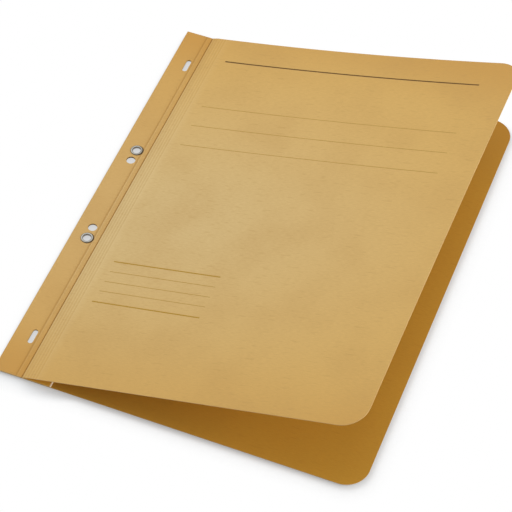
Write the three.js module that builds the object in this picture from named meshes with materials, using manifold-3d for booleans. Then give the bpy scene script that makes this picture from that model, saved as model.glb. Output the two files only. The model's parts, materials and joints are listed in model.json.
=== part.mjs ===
// Eyelet fastener folder in manila card, A4, lying on its back with the front cover sprung part way open.
// Units are millimetres. X runs from the folded spine edge to the free edge, Y runs along the spine, Z is up.
// The part is built with x = 0 on the spine edge and y = 0 at mid height, and is centred in X at the end.
//
// A single card blank makes both covers: back panel, rear spine strip, fold, front spine strip and front cover.
// Two metal eyelets clinch the spine strips over a card filing strip, which carries the fastener for the papers.
// The fastener is a stamped strip with two prongs, folded down over a bar and held there by two sliding locks.
import * as THREE from "three";
import { mergeVertices } from "three/addons/utils/BufferGeometryUtils.js";
import Module from "manifold-3d";

const wasm = await Module();
wasm.setup();

// Card sheets
const backWidth = 239;
const height = 308;
const card = 0.35;
const ply = 0.05; // air between two stacked sheets
const cornerRadius = 15;

// Spine
const spineWidth = 19; // spine edge to the main score
const scorePitch = 4; // main score to the score that the cover turns on
const scoreDepth = 0.12;
const scoreWidth = 0.7;
const foldJoint = 0.1; // between the fold and the rear strip
const panelJoint = 0.3; // between the rear strip and the back panel

// Punching, measured from the spine edge and from mid height
const eyeletInset = 11;
const eyeletSpacing = 80;
const holeInset = 10.8;
const holeSpacing = 61.5;
const holeDiameter = 6;
const slotInset = 12.1;
const slotSpacing = 247;
const slotLength = 11;
const slotWidth = 3.5;

// Eyelets
const eyeletBore = 5.4;
const eyeletWall = 0.28;
const eyeletFlange = 8.2;
const eyeletRearFlange = 0.2; // thickness of the clinched flange, which is pressed flush into the card
const eyeletRoll = 0.5; // height of the rolled front flange
const eyeletLip = 0.125; // thickness of the front flange at its edges
const eyeletFit = 0.15; // radial clearance in the card

// Front cover
const coverLength = 222.4; // pivot score to free edge
const restTilt = 16.4; // degrees above the back, as it springs open
const coverStart = 0.2; // pivot line to the panel's own edge
const pivotLift = 0.1; // pivot line above the card's top face
const cornerDrop = 5.7; // how far the top free corner hangs below the plane of the foot
const headSag = 2.9; // dip of the head edge between spine and free corner

// Filing strip
const filingTab = 2.5; // spine edge to the strip's glued edge
const filingEdge = 38.5; // spine edge to the strip's free edge
const filingRise = 3; // length over which it steps up onto the prong strip

// Fastener
const tin = 0.2; // prong strip and lock sheet
const barThickness = 0.25;
const prongSpacing = 80;
const prongLine = 29.5; // spine edge to the line of the prongs
const prongWidth = 4.5;
const prongLength = 29;
const prongBend = 0.45; // outer radius where a prong folds over
const prongFit = 0.3; // clearance of a prong in its slits
const stripWidth = 8;
const stripLength = 96;
const barWidth = 8.4;
const barLength = 104;
const barLip = 0.9; // end of the bar that is turned down onto the filing strip
const beadRadius = 1.4; // stamped bead at each end of the bar
const lockLength = 7;
const lockAt = 17.5; // mid height to the middle of each lock, over its prong
const lockGap = 0.06; // running gap between a lock and the bar and prong
const lockLipWidth = 1.1; // how far a lock reaches in under the bar
const lockGrip = 0.1; // height of the finger rib on a lock
const gripLength = 5.9; // finger rib across a lock
const gripWidth = 0.4;
const closedGap = 0.1; // between the locks and the closed cover

const arcSteps = 20;
const ringSteps = 40;
const warpColumns = 14;
const warpRows = 12;

// Heights of the stacked layers
const filingZ = card + ply;
const frontZ = filingZ + card + ply;
const spineTop = frontZ + card;
const stripZ = card + ply;
const filingHighZ = stripZ + tin + ply;
const lockLipZ = filingHighZ + card + lockGap;
const barZ = lockLipZ + tin + lockGap;
const prongZ = barZ + barThickness + ply;
const lockTopZ = prongZ + tin + lockGap;
const fastenerTop = lockTopZ + tin + lockGrip;
const pivotX = spineWidth + scorePitch;
const closedTop = fastenerTop + closedGap + card;
const pivotZ = closedTop + pivotLift;
const barrelRadius = eyeletBore / 2 + eyeletWall;
const cutThrough = 4; // half height of a cutter that passes through every layer

const cardColour = new THREE.Color(0.72, 0.55, 0.29);
const cardInside = new THREE.Color(0.66, 0.45, 0.17);
const cardMaterial = new THREE.MeshStandardMaterial({ color: cardColour, roughness: 0.85, metalness: 0 });
const insideMaterial = new THREE.MeshStandardMaterial({ color: cardInside, roughness: 0.85, metalness: 0 });
const nickelMaterial = new THREE.MeshStandardMaterial({ color: 0xc4c3bf, roughness: 0.28, metalness: 1 });
const tinMaterial = new THREE.MeshStandardMaterial({ color: 0xb9bbbd, roughness: 0.35, metalness: 1 });

// A three.js geometry as a manifold solid.
function solid(geometry) {
  const bare = geometry.clone();
  bare.deleteAttribute("normal");
  bare.deleteAttribute("uv");
  const merged = mergeVertices(bare, 1e-5);
  return new wasm.Manifold(
    new wasm.Mesh({
      numProp: 3,
      vertProperties: new Float32Array(merged.attributes.position.array),
      triVerts: new Uint32Array(merged.index.array),
    }),
  );
}

// A manifold solid as a three.js geometry.
function geometryOf(body) {
  const mesh = body.getMesh();
  const geometry = new THREE.BufferGeometry();
  geometry.setAttribute("position", new THREE.BufferAttribute(new Float32Array(mesh.vertProperties), 3));
  geometry.setIndex(new THREE.BufferAttribute(new Uint32Array(mesh.triVerts), 1));
  const shaded = geometry.toNonIndexed();
  shaded.computeVertexNormals();
  return shaded;
}

function named(name, geometry, material) {
  const mesh = new THREE.Mesh(geometry, material);
  mesh.name = name;
  return mesh;
}

// A flat outline in XY, from z = low to z = high.
function slab(shape, low, high) {
  const geometry = new THREE.ExtrudeGeometry(shape, {
    depth: high - low,
    bevelEnabled: false,
    curveSegments: arcSteps,
  });
  geometry.translate(0, 0, low);
  return solid(geometry);
}

// A section drawn in X and Z, drawn out along Y and centred on y = 0.
function drawnAlongY(section, length) {
  const geometry = new THREE.ExtrudeGeometry(section, {
    depth: length,
    bevelEnabled: false,
    curveSegments: arcSteps,
  });
  geometry.translate(0, 0, -length / 2);
  geometry.rotateX(Math.PI / 2);
  return solid(geometry);
}

// A sheet from x = left to x = right, as high as the folder, with its two right corners rounded.
function sheetOutline(left, right, radius) {
  const half = height / 2;
  const shape = new THREE.Shape();
  shape.moveTo(left, -half);
  shape.lineTo(right - radius, -half);
  if (radius > 0) shape.absarc(right - radius, -half + radius, radius, -Math.PI / 2, 0, false);
  shape.lineTo(right, half - radius);
  if (radius > 0) shape.absarc(right - radius, half - radius, radius, 0, Math.PI / 2, false);
  shape.lineTo(left, half);
  shape.closePath();
  return shape;
}

function box(x0, x1, y0, y1, z0, z1) {
  const geometry = new THREE.BoxGeometry(x1 - x0, y1 - y0, z1 - z0);
  geometry.translate((x0 + x1) / 2, (y0 + y1) / 2, (z0 + z1) / 2);
  return solid(geometry);
}

// An upright cylinder.
function post(x, y, radius, z0, z1) {
  const geometry = new THREE.CylinderGeometry(radius, radius, z1 - z0, ringSteps);
  geometry.rotateX(Math.PI / 2);
  geometry.translate(x, y, (z0 + z1) / 2);
  return solid(geometry);
}

// A cutter with round ends, its long side along Y.
function slotCutter(x, y) {
  const radius = slotWidth / 2;
  const reach = slotLength / 2 - radius;
  const shape = new THREE.Shape();
  shape.absarc(x, y + reach, radius, 0, Math.PI, false);
  shape.absarc(x, y - reach, radius, Math.PI, 2 * Math.PI, false);
  shape.closePath();
  return slab(shape, -cutThrough, cutThrough);
}

const bothEnds = [1, -1];

// Everything punched through the layers of the spine: eyelet seats, plain holes and slots.
function punched(body) {
  let result = body;
  for (const end of bothEnds) {
    const seat = post(eyeletInset, (end * eyeletSpacing) / 2, barrelRadius + eyeletFit, -cutThrough, cutThrough);
    const hole = post(holeInset, (end * holeSpacing) / 2, holeDiameter / 2, -cutThrough, cutThrough);
    result = result.subtract(seat).subtract(hole);
    result = result.subtract(slotCutter(slotInset, (end * slotSpacing) / 2));
  }
  return result;
}

// Back panel: the plain half of the blank, to the right of the spine.
function backPanel() {
  return slab(sheetOutline(spineWidth + panelJoint, backWidth, cornerRadius), 0, card);
}

// Rear spine strip, with a shallow seat under each eyelet where the clinched flange presses the card flat.
function spineRearStrip() {
  let body = slab(sheetOutline(spineTop / 2 + foldJoint, spineWidth, 0), 0, card);
  body = punched(body);
  const seatRadius = eyeletFlange / 2 + eyeletFit;
  for (const end of bothEnds) {
    const y = (end * eyeletSpacing) / 2;
    body = body.subtract(post(eyeletInset, y, seatRadius, -cutThrough, eyeletRearFlange + ply));
  }
  return body;
}

// Front spine strip: the fold on the left, the flat strip, and the narrow band that lifts to the pivot score.
function spineFrontStrip() {
  const outer = spineTop / 2;
  const inner = outer - card;
  const bandEndX = pivotX - coverStart;
  const slope = Math.atan2(closedTop - spineTop, bandEndX - spineWidth);
  const bandFootX = spineWidth + card * Math.tan(slope / 2);
  const section = new THREE.Shape();
  section.moveTo(outer, 0);
  section.absarc(outer, outer, outer, -Math.PI / 2, Math.PI / 2, true);
  section.lineTo(spineWidth, spineTop);
  section.lineTo(bandEndX, closedTop);
  section.lineTo(bandEndX + card * Math.sin(slope), closedTop - card * Math.cos(slope));
  section.lineTo(bandFootX, frontZ);
  section.lineTo(outer, frontZ);
  section.absarc(outer, outer, inner, Math.PI / 2, -Math.PI / 2, false);
  section.closePath();
  let body = punched(drawnAlongY(section, height));
  const scores = [spineWidth - scorePitch, spineWidth];
  for (const x of scores) {
    const groove = box(
      x - scoreWidth / 2,
      x + scoreWidth / 2,
      -height,
      height,
      spineTop - scoreDepth,
      spineTop + scoreDepth,
    );
    body = body.subtract(groove);
  }
  return body;
}

// Filing strip: glued between the spine strips, then stepping up onto the prong strip.
function filingStrip() {
  const rise = filingHighZ - filingZ;
  const stepEnd = spineWidth + filingRise;
  const section = new THREE.Shape();
  section.moveTo(filingTab, filingZ);
  section.lineTo(spineWidth, filingZ);
  section.bezierCurveTo(
    spineWidth + filingRise / 2, filingZ,
    spineWidth + filingRise / 2, filingZ + rise,
    stepEnd, filingZ + rise,
  );
  section.lineTo(filingEdge, filingHighZ);
  section.lineTo(filingEdge, filingHighZ + card);
  section.lineTo(stepEnd, filingHighZ + card);
  section.bezierCurveTo(
    spineWidth + filingRise / 2, filingHighZ + card,
    spineWidth + filingRise / 2, filingZ + card,
    spineWidth, filingZ + card,
  );
  section.lineTo(filingTab, filingZ + card);
  section.closePath();
  let body = punched(drawnAlongY(section, height));
  for (const end of bothEnds) body = body.subtract(prongSlit(end, filingHighZ - ply, filingHighZ + card + ply));
  return body;
}

// The slit that one prong stands in, through the layers from z0 to z1.
function prongSlit(end, z0, z1) {
  const half = prongWidth / 2 + prongFit;
  const y0 = (end * prongSpacing) / 2 - end * prongFit;
  const y1 = (end * prongSpacing) / 2 + end * (tin + prongFit);
  return box(prongLine - half, prongLine + half, Math.min(y0, y1), Math.max(y0, y1), z0, z1);
}

// A long outline with half-round ends, for a flat piece that lies along Y.
function roundEnded(x, halfWidth, low, high) {
  const shape = new THREE.Shape();
  shape.absarc(x, high - halfWidth, halfWidth, 0, Math.PI, false);
  shape.absarc(x, low + halfWidth, halfWidth, Math.PI, 2 * Math.PI, false);
  shape.closePath();
  return shape;
}

// Prong strip: one stamped piece, a flat strip with a prong at each end that stands up and folds inwards.
function prongStrip() {
  const strip = slab(
    roundEnded(prongLine, stripWidth / 2, -stripLength / 2, stripLength / 2),
    stripZ,
    stripZ + tin,
  );
  const root = prongSpacing / 2;
  const tip = root - prongLength;
  const top = prongZ + tin;
  const section = new THREE.Shape();
  section.moveTo(root + tin, stripZ);
  section.lineTo(root + tin, top - prongBend);
  section.absarc(root + tin - prongBend, top - prongBend, prongBend, 0, Math.PI / 2, false);
  section.lineTo(tip, top);
  section.lineTo(tip, prongZ);
  section.lineTo(root + tin - prongBend, prongZ);
  section.absarc(root + tin - prongBend, top - prongBend, prongBend - tin, Math.PI / 2, 0, true);
  section.lineTo(root, stripZ);
  section.closePath();
  const geometry = new THREE.ExtrudeGeometry(section, {
    depth: prongWidth,
    bevelEnabled: false,
    curveSegments: arcSteps / 2,
  });
  // Section X becomes Y and section Y becomes Z, with the width along X.
  geometry.rotateX(Math.PI / 2);
  geometry.rotateZ(Math.PI / 2);
  geometry.translate(prongLine - prongWidth / 2, 0, 0);
  const tongue = roundEnded(prongLine, prongWidth / 2, tip, root + prongWidth);
  const prong = solid(geometry).intersect(slab(tongue, 0, cutThrough));
  return strip.add(prong).add(prong.mirror([0, 1, 0]));
}

// Bar: presses the papers down, with a slit for each prong and its ends turned down onto the filing strip.
function compressorBar() {
  const half = barWidth / 2;
  const end = barLength / 2;
  const foot = filingHighZ + card + ply;
  const outline = roundEnded(prongLine, half, -end, end);
  let body = slab(outline, barZ, barZ + barThickness);
  const lips = slab(outline, foot, barZ + barThickness).subtract(
    box(prongLine - half, prongLine + half, -end + half, end - half, 0, cutThrough),
  );
  const core = slab(roundEnded(prongLine, half - barLip, -end + barLip, end - barLip), 0, barZ);
  body = body.add(lips.subtract(core));
  for (const side of bothEnds) {
    body = body.subtract(prongSlit(side, barZ - ply, barZ + barThickness + ply));
    const bead = post(prongLine, side * (end - half), beadRadius, barZ + barThickness - ply, prongZ);
    body = body.add(bead);
  }
  return body;
}

// Lock: a sheet sleeve that slides along the bar over a folded prong, with a finger rib across its top.
function lockSlider(side) {
  const y0 = side * lockAt - lockLength / 2;
  const y1 = side * lockAt + lockLength / 2;
  const inner = barWidth / 2 + lockGap;
  const outer = inner + tin;
  const shell = box(prongLine - outer, prongLine + outer, y0, y1, lockLipZ, lockTopZ + tin);
  const run = box(prongLine - inner, prongLine + inner, y0 - tin, y1 + tin, lockLipZ + tin, lockTopZ);
  const lipGap = inner - lockLipWidth;
  const mouth = box(prongLine - lipGap, prongLine + lipGap, y0 - tin, y1 + tin, 0, lockTopZ);
  const grip = new THREE.CylinderGeometry(gripWidth / 2, gripWidth / 2, gripLength, arcSteps);
  grip.rotateZ(Math.PI / 2);
  grip.scale(1, 1, (2 * lockGrip) / gripWidth);
  grip.translate(prongLine, side * lockAt, lockTopZ + tin);
  return shell.subtract(run).subtract(mouth).add(solid(grip));
}

// Eyelet: a barrel with a rolled flange in front and a flange clinched flush behind, as one turned profile.
function eyelet(end) {
  const bore = eyeletBore / 2;
  const rim = eyeletFlange / 2;
  const rollRadius = (rim - barrelRadius) / 2;
  const rollCentre = barrelRadius + rollRadius;
  const seatZ = spineTop + ply;
  const points = [];
  points.push(new THREE.Vector2(bore + eyeletWall, 0));
  points.push(new THREE.Vector2(rim, 0));
  points.push(new THREE.Vector2(rim, eyeletRearFlange));
  points.push(new THREE.Vector2(barrelRadius, eyeletRearFlange));
  points.push(new THREE.Vector2(barrelRadius, seatZ));
  points.push(new THREE.Vector2(rim, seatZ));
  for (let i = 0; i <= arcSteps / 2; i++) {
    const turn = (Math.PI * i) / (arcSteps / 2);
    const x = rollCentre + rollRadius * Math.cos(turn);
    points.push(new THREE.Vector2(x, seatZ + eyeletLip + (eyeletRoll - eyeletLip) * Math.sin(turn)));
  }
  points.push(new THREE.Vector2(bore, seatZ));
  points.push(new THREE.Vector2(bore, eyeletWall));
  points.push(new THREE.Vector2(bore + eyeletWall, 0));
  const geometry = new THREE.LatheGeometry(points, ringSteps);
  geometry.rotateX(Math.PI / 2);
  geometry.translate(eyeletInset, (end * eyeletSpacing) / 2, 0);
  return geometry;
}

// How far the cover's card stands off its plane. The foot edge is straight, and the head edge hangs and dips.
function coverWarp(along, up) {
  const s = along / coverLength;
  const t = (up + height / 2) / height;
  return -t * t * (cornerDrop * s + headSag * 4 * s * (1 - s));
}

// Front cover in its own frame, with the pivot line on the Y axis and the card just below it.
function frontCover() {
  const margin = 1;
  const length = coverLength + margin;
  const plate = new THREE.BoxGeometry(length, height + 2 * margin, card, warpColumns, warpRows, 1);
  plate.translate(length / 2, 0, -pivotLift - card / 2);
  const position = plate.getAttribute("position");
  for (let i = 0; i < position.count; i++) {
    position.setZ(i, position.getZ(i) + coverWarp(position.getX(i), position.getY(i)));
  }
  const lowest = -cornerDrop - headSag - margin;
  const outline = slab(sheetOutline(coverStart, coverLength, cornerRadius), lowest, margin);
  const body = solid(plate).intersect(outline);
  const groove = box(
    scorePitch - scoreWidth / 2,
    scorePitch + scoreWidth / 2,
    -height,
    height,
    -pivotLift - scoreDepth,
    margin,
  );
  return body.subtract(groove);
}

const folder = new THREE.Group();
folder.add(named("back_panel", geometryOf(backPanel()), insideMaterial));
folder.add(named("spine_rear_strip", geometryOf(spineRearStrip()), cardMaterial));
folder.add(named("spine_front_strip", geometryOf(spineFrontStrip()), cardMaterial));
folder.add(named("filing_strip", geometryOf(filingStrip()), insideMaterial));
folder.add(named("prong_strip", geometryOf(prongStrip()), tinMaterial));
folder.add(named("compressor_bar", geometryOf(compressorBar()), tinMaterial));
folder.add(named("upper_lock", geometryOf(lockSlider(1)), tinMaterial));
folder.add(named("lower_lock", geometryOf(lockSlider(-1)), tinMaterial));
folder.add(named("upper_eyelet", eyelet(1), nickelMaterial));
folder.add(named("lower_eyelet", eyelet(-1), nickelMaterial));

const cover = named("front_cover", geometryOf(frontCover()), cardMaterial);
cover.position.set(pivotX, 0, pivotZ);
cover.rotation.y = -THREE.MathUtils.degToRad(restTilt);
folder.add(cover);

folder.position.x = -backWidth / 2;
const part = new THREE.Group();
part.add(folder);
export default part;
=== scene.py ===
"""Looks of a buff card fastener folder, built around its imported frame.

The folder lies on its back with the front cover sprung part way open. The card, the eyelets and the
fastener are dressed here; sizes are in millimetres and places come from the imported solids.
"""

import json
import logging
import math
from dataclasses import dataclass, field
from enum import Enum
from typing import Any, Iterable, Sequence

import bmesh
import bpy
import numpy as np
from mathutils import Matrix, Vector


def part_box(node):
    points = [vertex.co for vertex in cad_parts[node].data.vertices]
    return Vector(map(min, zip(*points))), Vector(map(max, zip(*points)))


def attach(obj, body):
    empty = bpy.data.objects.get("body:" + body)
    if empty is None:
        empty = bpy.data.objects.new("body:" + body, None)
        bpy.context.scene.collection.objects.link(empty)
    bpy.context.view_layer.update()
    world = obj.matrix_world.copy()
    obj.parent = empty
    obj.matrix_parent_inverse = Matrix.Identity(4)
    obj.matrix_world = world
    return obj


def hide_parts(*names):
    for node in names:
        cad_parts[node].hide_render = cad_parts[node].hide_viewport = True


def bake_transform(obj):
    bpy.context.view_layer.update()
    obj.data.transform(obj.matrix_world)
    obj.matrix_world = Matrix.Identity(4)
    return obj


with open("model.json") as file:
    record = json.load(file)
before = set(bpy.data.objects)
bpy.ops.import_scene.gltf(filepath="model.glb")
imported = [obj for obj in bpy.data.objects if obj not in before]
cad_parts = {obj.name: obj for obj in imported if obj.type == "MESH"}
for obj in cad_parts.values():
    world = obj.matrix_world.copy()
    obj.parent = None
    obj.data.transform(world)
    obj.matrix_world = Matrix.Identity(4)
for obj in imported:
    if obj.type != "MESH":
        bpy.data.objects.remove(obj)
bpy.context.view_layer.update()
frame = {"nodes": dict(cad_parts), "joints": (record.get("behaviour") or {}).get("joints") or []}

log = logging.getLogger("folder")

MM = 0.001  # metres in a millimetre
FLAT = "flat"  # point attribute: where a point lies on the card before it is folded
SCORE_SHADE = "pressed"  # point attribute: painted shade along the score lines, from 0 to 1
RIDGE_HIGHLIGHT = "ridge_highlight"  # point attribute: how far the card is pushed up beside a score, from 0 to 1, shown as a painted highlight
SPINE_WIDTH = 19.0  # millimetres from the spine edge to the main score
EYELET_PLACE = (11.0, 40.0)  # millimetres from the spine edge and from mid height
EYELET_RADIUS = 4.1  # millimetres, of the flange
CARD_CREASE = 35.0  # degrees, above which an edge of the card shows as sharp
METAL_CREASE = 50.0  # degrees, above which an edge of the metal shows as sharp

Colour = tuple[float, float, float, float]


class Face(Enum):
    """The sides of a card sheet, as material slots."""

    TOP = 0
    UNDER = 1
    CUT = 2


class Body(Enum):
    """The moving bodies of the folder."""

    SPINE = "spine"
    BACK = "back"
    COVER = "cover"
    UPPER_SLIDE = "upper_slide"
    LOWER_SLIDE = "lower_slide"


class Ink(Enum):
    """The inks of the printed rules."""

    BROWN = "brown"
    TAN = "tan"
    FAINT = "faint"


class Link:
    """A shader socket that takes part in Python sums."""

    def __init__(self, graph: "Graph", socket: bpy.types.NodeSocket) -> None:
        """Keeps the socket and the graph that new nodes go to."""
        self.graph = graph
        self.socket = socket

    def _sum(self, operation: str, first: Any, second: Any) -> "Link":
        """Adds a Math node on two numbers or Links."""
        return self.graph.node("ShaderNodeMath", {"operation": operation}, {0: first, 1: second})

    def __add__(self, other: Any) -> "Link":
        """self + other"""
        return self._sum("ADD", self, other)

    __radd__ = __add__

    def __sub__(self, other: Any) -> "Link":
        """self - other"""
        return self._sum("SUBTRACT", self, other)

    def __rsub__(self, other: Any) -> "Link":
        """other - self"""
        return self._sum("SUBTRACT", other, self)

    def __mul__(self, other: Any) -> "Link":
        """self * other"""
        return self._sum("MULTIPLY", self, other)

    __rmul__ = __mul__

    def __pow__(self, other: Any) -> "Link":
        """self ** other"""
        return self._sum("POWER", self, other)


class Graph:
    """The node tree of a material or of the world."""

    def __init__(self, tree: bpy.types.NodeTree) -> None:
        """Keeps the tree that new nodes go to."""
        self.tree = tree

    def node(
        self,
        kind: str,
        settings: dict[str, Any] | None = None,
        inputs: dict[int | str, Any] | None = None,
        output: int | str = 0,
    ) -> Link:
        """Adds a node of any kind.

        Args:
            kind: The node's type.
            settings: Properties of the node, set first.
            inputs: Socket index or name to a value or a Link.
            output: The output to hand back.

        Returns:
            The chosen output.
        """
        made = self.tree.nodes.new(kind)
        for key, value in (settings or {}).items():
            setattr(made, key, value)
        for key, value in (inputs or {}).items():
            self.feed(made.inputs[key], value)
        return Link(self, made.outputs[output])

    def feed(self, socket: bpy.types.NodeSocket, value: Any) -> None:
        """Links a Link to a socket, or sets its value.

        Args:
            socket: An input of a node.
            value: A Link, or what the socket holds.
        """
        if isinstance(value, Link):
            self.tree.links.new(value.socket, socket)
        else:
            socket.default_value = value

    def attribute(self, name: str, output: str = "Vector") -> Link:
        """Reads a point attribute of the mesh."""
        return self.node("ShaderNodeAttribute", {"attribute_name": name}, output=output)

    def place(self) -> Link:
        """Where a point lies on its object."""
        return self.node("ShaderNodeTexCoord", output="Object")

    def axis(self, vector: Link, name: str) -> Link:
        """The X, Y or Z of a vector."""
        return self.node("ShaderNodeSeparateXYZ", {}, {0: vector}, name)

    def absolute(self, value: Link) -> Link:
        """A number without its sign."""
        return self.node("ShaderNodeMath", {"operation": "ABSOLUTE"}, {0: value})

    def vector(self, operation: str, *parts: Any, output: str = "Vector") -> Link:
        """Adds a Vector Math node."""
        inputs = dict(enumerate(parts))
        return self.node("ShaderNodeVectorMath", {"operation": operation}, inputs, output)

    def ray(self, kind: str) -> Link:
        """1 for one kind of ray, such as Camera, and 0 for any other."""
        return self.node("ShaderNodeLightPath", output=f"Is {kind} Ray")

    def noise(self, vector: Link, width: float, detail: float = 2.0, rough: float = 0.5) -> Link:
        """A noise of about 0 to 1, whose features are as wide as width, in millimetres."""
        inputs = {"Vector": vector, "Scale": 1 / (width * MM), "Detail": detail, "Roughness": rough}
        return self.node("ShaderNodeTexNoise", {"noise_dimensions": "3D"}, inputs, "Fac")

    def ramp(self, value: Link, low: float, high: float) -> Link:
        """0 below low, 1 above high and smooth between."""
        inputs = {"Value": value, "From Min": low, "From Max": high}
        return self.node("ShaderNodeMapRange", {"interpolation_type": "SMOOTHSTEP"}, inputs, "Result")

    def mix(self, factor: Any, first: Any, second: Any) -> Link:
        """Mixes two colours, from the first at a factor of 0 to the second at 1."""
        return self.node("ShaderNodeMix", {"data_type": "RGBA"}, {0: factor, 6: first, 7: second}, 2)

    def bump(self, height: Link, depth: float) -> Link:
        """A normal from a height of 0 to 1, which stands for 0 to depth, in metres."""
        return self.node("ShaderNodeBump", {}, {"Strength": 1.0, "Distance": depth, "Height": height})


class Finish(Graph):
    """The node tree of one material, with its Principled shader."""

    def __init__(self, name: str) -> None:
        """Starts a material.

        Args:
            name: The material's name.
        """
        self.material = bpy.data.materials.new(name)
        self.material.use_nodes = True
        super().__init__(self.material.node_tree)
        self.shader = self.tree.nodes["Principled BSDF"]
        self.output = self.tree.nodes["Material Output"]

    def dress(self, **inputs: Any) -> None:
        """Feeds the Principled shader's sockets, named with underscores for spaces."""
        for name, value in inputs.items():
            self.feed(self.shader.inputs[name.replace("_", " ")], value)


def rgba(red: float, green: float, blue: float) -> Colour:
    """A linear colour with alpha 1.

    Args:
        red: The screen's red, from 0 to 255.
        green: The screen's green.
        blue: The screen's blue.

    Returns:
        The colour, off the sRGB curve.
    """

    def linear(level: float) -> float:
        """One channel of the sRGB curve."""
        share = level / 255
        return share / 12.92 if share <= 0.04045 else ((share + 0.055) / 1.055) ** 2.4

    return (linear(red), linear(green), linear(blue), 1.0)


WHITE: Colour = (1.0, 1.0, 1.0, 1.0)
BLACK: Colour = (0.0, 0.0, 0.0, 1.0)
BUFF = rgba(210, 176, 116)
SOFT_LAYERS = 3.0  # detail of a soft, wide noise
FINE_LAYERS = (2.0, 0.6)  # detail and roughness of a fine noise


@dataclass(frozen=True)
class CardTones:
    """The colours of one side of the card, with the tones of its painted sheen, shade and highlights."""

    # pale is a painted sheen; rim and the tone after it are painted shade towards the rim, the corners
    # and the ends
    pale: Colour
    rim: Colour
    deep_shade: Colour
    # painted shade on the spine strip; on the cut edge, painted shade in the walls of the holes
    spine_shade: Colour
    grain: Colour
    # painted shade along the score lines
    pressed: Colour
    # painted highlight on the ridges beside the scores
    ridge_highlight: Colour


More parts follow.
